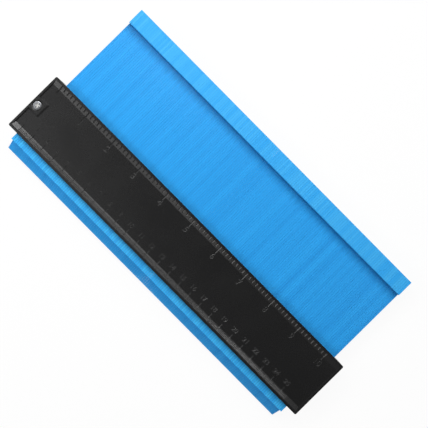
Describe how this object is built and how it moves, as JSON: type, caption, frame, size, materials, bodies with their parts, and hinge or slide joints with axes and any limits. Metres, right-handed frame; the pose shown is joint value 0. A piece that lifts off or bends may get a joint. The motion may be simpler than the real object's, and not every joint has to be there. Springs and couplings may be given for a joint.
{
  "type": "contour gauge",
  "caption": "Flat contour gauge: a ruled dark housing clamps a long row of thin sliding pins, which are pushed against an object to copy its profile.",
  "frame": {"origin": "centre of the plane of the rear face, on which the gauge lies", "axes": "+X along the row of pins, away from the front screw; +Y along the pins towards their blunt heads and the inch edge; +Z out of the front face"},
  "size_m": [0.276, 0.1323, 0.017],
  "materials": {
    "housing_plastic": "black moulded plastic, fine spark-eroded texture, satin",
    "pin_plastic": "light blue moulded plastic, satin, faint flow lines",
    "pad_foam": "dense grey foam rubber",
    "screw_steel": "zinc-plated steel, bright"
  },
  "bodies": {
    "housing": {"housing_front": "housing_plastic", "housing_rear": "housing_plastic", "friction_pad_front": "pad_foam", "friction_pad_rear": "pad_foam"},
    "tension_screw_left": {"tension_screw_left": "screw_steel"},
    "tension_screw_right": {"tension_screw_right": "screw_steel"},
    "pin_pack_01": {"pin_pack_01": "pin_plastic"},
    "pin_pack_02": {"pin_pack_02": "pin_plastic"},
    "pin_pack_03": {"pin_pack_03": "pin_plastic"},
    "pin_pack_04": {"pin_pack_04": "pin_plastic"},
    "pin_pack_05": {"pin_pack_05": "pin_plastic"},
    "pin_pack_06": {"pin_pack_06": "pin_plastic"},
    "pin_pack_07": {"pin_pack_07": "pin_plastic"},
    "pin_pack_08": {"pin_pack_08": "pin_plastic"},
    "pin_pack_09": {"pin_pack_09": "pin_plastic"},
    "pin_pack_10": {"pin_pack_10": "pin_plastic"},
    "pin_pack_11": {"pin_pack_11": "pin_plastic"},
    "pin_pack_12": {"pin_pack_12": "pin_plastic"},
    "pin_pack_13": {"pin_pack_13": "pin_plastic"},
    "pin_pack_14": {"pin_pack_14": "pin_plastic"},
    "pin_pack_15": {"pin_pack_15": "pin_plastic"},
    "pin_pack_16": {"pin_pack_16": "pin_plastic"},
    "pin_pack_17": {"pin_pack_17": "pin_plastic"},
    "pin_pack_18": {"pin_pack_18": "pin_plastic"},
    "pin_pack_19": {"pin_pack_19": "pin_plastic"},
    "pin_pack_20": {"pin_pack_20": "pin_plastic"},
    "pin_pack_21": {"pin_pack_21": "pin_plastic"},
    "pin_pack_22": {"pin_pack_22": "pin_plastic"},
    "pin_pack_23": {"pin_pack_23": "pin_plastic"},
    "pin_pack_24": {"pin_pack_24": "pin_plastic"},
    "pin_pack_25": {"pin_pack_25": "pin_plastic"},
    "pin_pack_26": {"pin_pack_26": "pin_plastic"},
    "pin_pack_27": {"pin_pack_27": "pin_plastic"},
    "pin_pack_28": {"pin_pack_28": "pin_plastic"},
    "pin_pack_29": {"pin_pack_29": "pin_plastic"},
    "pin_pack_30": {"pin_pack_30": "pin_plastic"},
    "pin_pack_31": {"pin_pack_31": "pin_plastic"},
    "pin_pack_32": {"pin_pack_32": "pin_plastic"},
    "pin_pack_33": {"pin_pack_33": "pin_plastic"},
    "pin_pack_34": {"pin_pack_34": "pin_plastic"},
    "pin_pack_35": {"pin_pack_35": "pin_plastic"},
    "pin_pack_36": {"pin_pack_36": "pin_plastic"},
    "pin_pack_37": {"pin_pack_37": "pin_plastic"},
    "pin_pack_38": {"pin_pack_38": "pin_plastic"},
    "pin_pack_39": {"pin_pack_39": "pin_plastic"},
    "pin_pack_40": {"pin_pack_40": "pin_plastic"},
    "pin_pack_41": {"pin_pack_41": "pin_plastic"}
  },
  "joints": [
    {"name": "tension_screw_left_turn", "type": "hinge", "parent": "housing", "child": "tension_screw_left", "pos_m": [-0.13338, 0, 0.017], "axis": [0, 0, 1], "range_deg": [-90, 360]},
    {"name": "tension_screw_right_turn", "type": "hinge", "parent": "housing", "child": "tension_screw_right", "pos_m": [0.13338, 0, 0], "axis": [0, 0, -1], "range_deg": [-90, 360]},
    {"name": "pin_pack_01_slide", "type": "slide", "parent": "housing", "child": "pin_pack_01", "axis": [0, 1, 0], "range_m": [-0.06095, 0.00015]},
    {"name": "pin_pack_02_slide", "type": "slide", "parent": "housing", "child": "pin_pack_02", "axis": [0, 1, 0], "range_m": [-0.06095, 0.00015]},
    {"name": "pin_pack_03_slide", "type": "slide", "parent": "housing", "child": "pin_pack_03", "axis": [0, 1, 0], "range_m": [-0.06095, 0.00015]},
    {"name": "pin_pack_04_slide", "type": "slide", "parent": "housing", "child": "pin_pack_04", "axis": [0, 1, 0], "range_m": [-0.06095, 0.00015]},
    {"name": "pin_pack_05_slide", "type": "slide", "parent": "housing", "child": "pin_pack_05", "axis": [0, 1, 0], "range_m": [-0.06095, 0.00015]},
    {"name": "pin_pack_06_slide", "type": "slide", "parent": "housing", "child": "pin_pack_06", "axis": [0, 1, 0], "range_m": [-0.06095, 0.00015]},
    {"name": "pin_pack_07_slide", "type": "slide", "parent": "housing", "child": "pin_pack_07", "axis": [0, 1, 0], "range_m": [-0.06095, 0.00015]},
    {"name": "pin_pack_08_slide", "type": "slide", "parent": "housing", "child": "pin_pack_08", "axis": [0, 1, 0], "range_m": [-0.06095, 0.00015]},
    {"name": "pin_pack_09_slide", "type": "slide", "parent": "housing", "child": "pin_pack_09", "axis": [0, 1, 0], "range_m": [-0.06095, 0.00015]},
    {"name": "pin_pack_10_slide", "type": "slide", "parent": "housing", "child": "pin_pack_10", "axis": [0, 1, 0], "range_m": [-0.06095, 0.00015]},
    {"name": "pin_pack_11_slide", "type": "slide", "parent": "housing", "child": "pin_pack_11", "axis": [0, 1, 0], "range_m": [-0.06095, 0.00015]},
    {"name": "pin_pack_12_slide", "type": "slide", "parent": "housing", "child": "pin_pack_12", "axis": [0, 1, 0], "range_m": [-0.06095, 0.00015]},
    {"name": "pin_pack_13_slide", "type": "slide", "parent": "housing", "child": "pin_pack_13", "axis": [0, 1, 0], "range_m": [-0.06095, 0.00015]},
    {"name": "pin_pack_14_slide", "type": "slide", "parent": "housing", "child": "pin_pack_14", "axis": [0, 1, 0], "range_m": [-0.06095, 0.00015]},
    {"name": "pin_pack_15_slide", "type": "slide", "parent": "housing", "child": "pin_pack_15", "axis": [0, 1, 0], "range_m": [-0.06095, 0.00015]},
    {"name": "pin_pack_16_slide", "type": "slide", "parent": "housing", "child": "pin_pack_16", "axis": [0, 1, 0], "range_m": [-0.06095, 0.00015]},
    {"name": "pin_pack_17_slide", "type": "slide", "parent": "housing", "child": "pin_pack_17", "axis": [0, 1, 0], "range_m": [-0.06095, 0.00015]},
    {"name": "pin_pack_18_slide", "type": "slide", "parent": "housing", "child": "pin_pack_18", "axis": [0, 1, 0], "range_m": [-0.06095, 0.00015]},
    {"name": "pin_pack_19_slide", "type": "slide", "parent": "housing", "child": "pin_pack_19", "axis": [0, 1, 0], "range_m": [-0.06095, 0.00015]},
    {"name": "pin_pack_20_slide", "type": "slide", "parent": "housing", "child": "pin_pack_20", "axis": [0, 1, 0], "range_m": [-0.06095, 0.00015]},
    {"name": "pin_pack_21_slide", "type": "slide", "parent": "housing", "child": "pin_pack_21", "axis": [0, 1, 0], "range_m": [-0.06095, 0.00015]},
    {"name": "pin_pack_22_slide", "type": "slide", "parent": "housing", "child": "pin_pack_22", "axis": [0, 1, 0], "range_m": [-0.06095, 0.00015]},
    {"name": "pin_pack_23_slide", "type": "slide", "parent": "housing", "child": "pin_pack_23", "axis": [0, 1, 0], "range_m": [-0.06095, 0.00015]},
    {"name": "pin_pack_24_slide", "type": "slide", "parent": "housing", "child": "pin_pack_24", "axis": [0, 1, 0], "range_m": [-0.06095, 0.00015]},
    {"name": "pin_pack_25_slide", "type": "slide", "parent": "housing", "child": "pin_pack_25", "axis": [0, 1, 0], "range_m": [-0.06095, 0.00015]},
    {"name": "pin_pack_26_slide", "type": "slide", "parent": "housing", "child": "pin_pack_26", "axis": [0, 1, 0], "range_m": [-0.06095, 0.00015]},
    {"name": "pin_pack_27_slide", "type": "slide", "parent": "housing", "child": "pin_pack_27", "axis": [0, 1, 0], "range_m": [-0.06095, 0.00015]},
    {"name": "pin_pack_28_slide", "type": "slide", "parent": "housing", "child": "pin_pack_28", "axis": [0, 1, 0], "range_m": [-0.06095, 0.00015]},
    {"name": "pin_pack_29_slide", "type": "slide", "parent": "housing", "child": "pin_pack_29", "axis": [0, 1, 0], "range_m": [-0.06095, 0.00015]},
    {"name": "pin_pack_30_slide", "type": "slide", "parent": "housing", "child": "pin_pack_30", "axis": [0, 1, 0], "range_m": [-0.06095, 0.00015]},
    {"name": "pin_pack_31_slide", "type": "slide", "parent": "housing", "child": "pin_pack_31", "axis": [0, 1, 0], "range_m": [-0.06095, 0.00015]},
    {"name": "pin_pack_32_slide", "type": "slide", "parent": "housing", "child": "pin_pack_32", "axis": [0, 1, 0], "range_m": [-0.06095, 0.00015]},
    {"name": "pin_pack_33_slide", "type": "slide", "parent": "housing", "child": "pin_pack_33", "axis": [0, 1, 0], "range_m": [-0.06095, 0.00015]},
    {"name": "pin_pack_34_slide", "type": "slide", "parent": "housing", "child": "pin_pack_34", "axis": [0, 1, 0], "range_m": [-0.06095, 0.00015]},
    {"name": "pin_pack_35_slide", "type": "slide", "parent": "housing", "child": "pin_pack_35", "axis": [0, 1, 0], "range_m": [-0.06095, 0.00015]},
    {"name": "pin_pack_36_slide", "type": "slide", "parent": "housing", "child": "pin_pack_36", "axis": [0, 1, 0], "range_m": [-0.06095, 0.00015]},
    {"name": "pin_pack_37_slide", "type": "slide", "parent": "housing", "child": "pin_pack_37", "axis": [0, 1, 0], "range_m": [-0.06095, 0.00015]},
    {"name": "pin_pack_38_slide", "type": "slide", "parent": "housing", "child": "pin_pack_38", "axis": [0, 1, 0], "range_m": [-0.06095, 0.00015]},
    {"name": "pin_pack_39_slide", "type": "slide", "parent": "housing", "child": "pin_pack_39", "axis": [0, 1, 0], "range_m": [-0.06095, 0.00015]},
    {"name": "pin_pack_40_slide", "type": "slide", "parent": "housing", "child": "pin_pack_40", "axis": [0, 1, 0], "range_m": [-0.06095, 0.00015]},
    {"name": "pin_pack_41_slide", "type": "slide", "parent": "housing", "child": "pin_pack_41", "axis": [0, 1, 0], "range_m": [-0.06095, 0.00015]}
  ]
}
